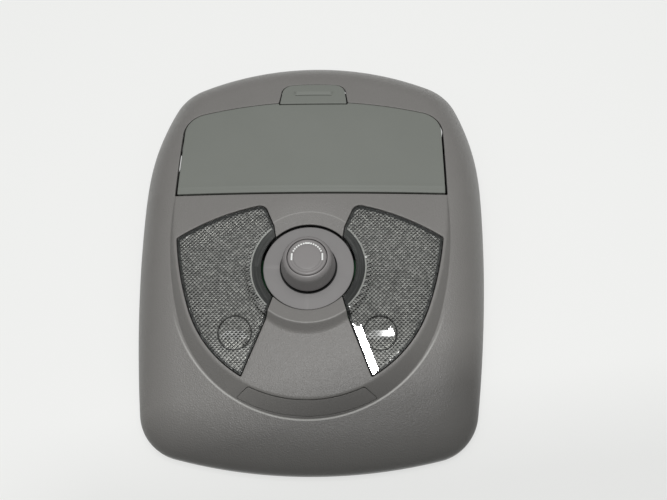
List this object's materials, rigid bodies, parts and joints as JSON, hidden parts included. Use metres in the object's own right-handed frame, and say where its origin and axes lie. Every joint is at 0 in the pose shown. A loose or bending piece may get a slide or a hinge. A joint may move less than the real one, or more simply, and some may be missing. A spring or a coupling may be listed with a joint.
{
  "type": "car overhead console with map lamps",
  "caption": "Car overhead console with map lamps under press lenses, a rotary knob with a push cap, and a glasses holder behind a latched, damped lid.",
  "frame": {"origin": "middle of the console's bounding box, on the plane of its back rim", "axes": "+Z towards the cabin side, +Y along the console towards the latch button, +X across it"},
  "size_m": [0.217, 0.278, 0.0501],
  "materials": {
    "shell_plastic": "fine-grained moulded plastic",
    "lid_plastic": "fine-grained moulded plastic",
    "knob_plastic": "smooth satin plastic",
    "clear_lens": "clear moulded plastic with a prism pattern",
    "reflector_white": "glossy white plastic",
    "bulb_glass": "clear glass",
    "dark_plastic": "black moulded plastic",
    "natural_plastic": "natural nylon",
    "board_green": "solder mask",
    "pin_brass": "plated contact metal",
    "steel": "zinc-plated steel",
    "liner_felt": "black felt",
    "rubber": "black rubber"
  },
  "bodies": {
    "housing": {"shell": "shell_plastic", "rear_frame": "dark_plastic", "screw_cover": "shell_plastic", "switch_bezel": "lid_plastic", "switch_body": "dark_plastic", "reflector_left": "reflector_white", "reflector_right": "reflector_white", "bulb_left": "bulb_glass", "bulb_right": "bulb_glass", "bulb_holder_left": "dark_plastic", "bulb_holder_right": "dark_plastic", "lamp_switch_left": "dark_plastic", "lamp_switch_right": "dark_plastic", "circuit_board": "board_green", "connector_socket": "natural_plastic", "connector_pins": "pin_brass", "bin_housing": "dark_plastic", "pivot_pin": "steel", "damper_body": "dark_plastic", "lid_bumpers": "rubber", "latch_springs": "steel", "latch_guide": "dark_plastic", "frame_screws": "steel", "mounting_clips": "steel"},
    "lid": {"lid_panel": "lid_plastic", "glasses_tray": "dark_plastic", "tray_liner": "liner_felt", "hinge_arm_left": "steel", "hinge_arm_right": "steel", "lid_striker": "dark_plastic", "damper_rotor": "natural_plastic"},
    "knob": {"knob": "knob_plastic", "knob_shaft": "steel"},
    "knob_cap": {"knob_cap": "knob_plastic"},
    "lens_left": {"lens_left": "clear_lens"},
    "lens_right": {"lens_right": "clear_lens"},
    "plunger_left": {"plunger_left": "natural_plastic"},
    "plunger_right": {"plunger_right": "natural_plastic"},
    "latch_button": {"latch_button": "lid_plastic"},
    "latch_hook": {"latch_hook": "natural_plastic"}
  },
  "joints": [
    {"name": "lid_hinge", "type": "hinge", "parent": "housing", "child": "lid", "pos_m": [0, 0.008, 0.032], "axis": [1, 0, 0], "range_deg": [0, 60]},
    {"name": "knob_turn", "type": "hinge", "parent": "housing", "child": "knob", "pos_m": [0, -0.026, 0.0366], "axis": [0, 0, 1], "range_deg": [-60, 90]},
    {"name": "cap_push", "type": "slide", "parent": "knob", "child": "knob_cap", "axis": [0, 0, -1], "range_m": [0, 0.001], "stiffness_N_per_m": 900, "springref_m": -0.0005},
    {"name": "lens_left_press", "type": "hinge", "parent": "housing", "child": "lens_left", "pos_m": [-0.05407, -0.00046, 0.03287], "axis": [0.9196, 0.3929, 0], "range_deg": [0, 1.2], "stiffness_Nm_per_rad": 2, "springref_deg": -0.57},
    {"name": "lens_right_press", "type": "hinge", "parent": "housing", "child": "lens_right", "pos_m": [0.05407, -0.00046, 0.03287], "axis": [0.9196, -0.3929, 0], "range_deg": [0, 1.2], "stiffness_Nm_per_rad": 2, "springref_deg": -0.57},
    {"name": "plunger_left_slide", "type": "slide", "parent": "housing", "child": "plunger_left", "axis": [0, 0, -1], "range_m": [0, 0.0015]},
    {"name": "plunger_right_slide", "type": "slide", "parent": "housing", "child": "plunger_right", "axis": [0, 0, -1], "range_m": [0, 0.0015]},
    {"name": "button_press", "type": "slide", "parent": "housing", "child": "latch_button", "axis": [0, 0, -1], "range_m": [0, 0.002], "stiffness_N_per_m": 500, "springref_m": -0.001, "deforming": ["latch_springs"]},
    {"name": "hook_slide", "type": "slide", "parent": "housing", "child": "latch_hook", "axis": [0, 1, 0], "range_m": [0, 0.002]}
  ],
  "couplings": [
    {"joint": "plunger_left_slide", "follows": "lens_left_press", "m_per_rad": 0.06516},
    {"joint": "plunger_right_slide", "follows": "lens_right_press", "m_per_rad": 0.06516},
    {"joint": "hook_slide", "follows": "button_press", "ratio": 1}
  ]
}
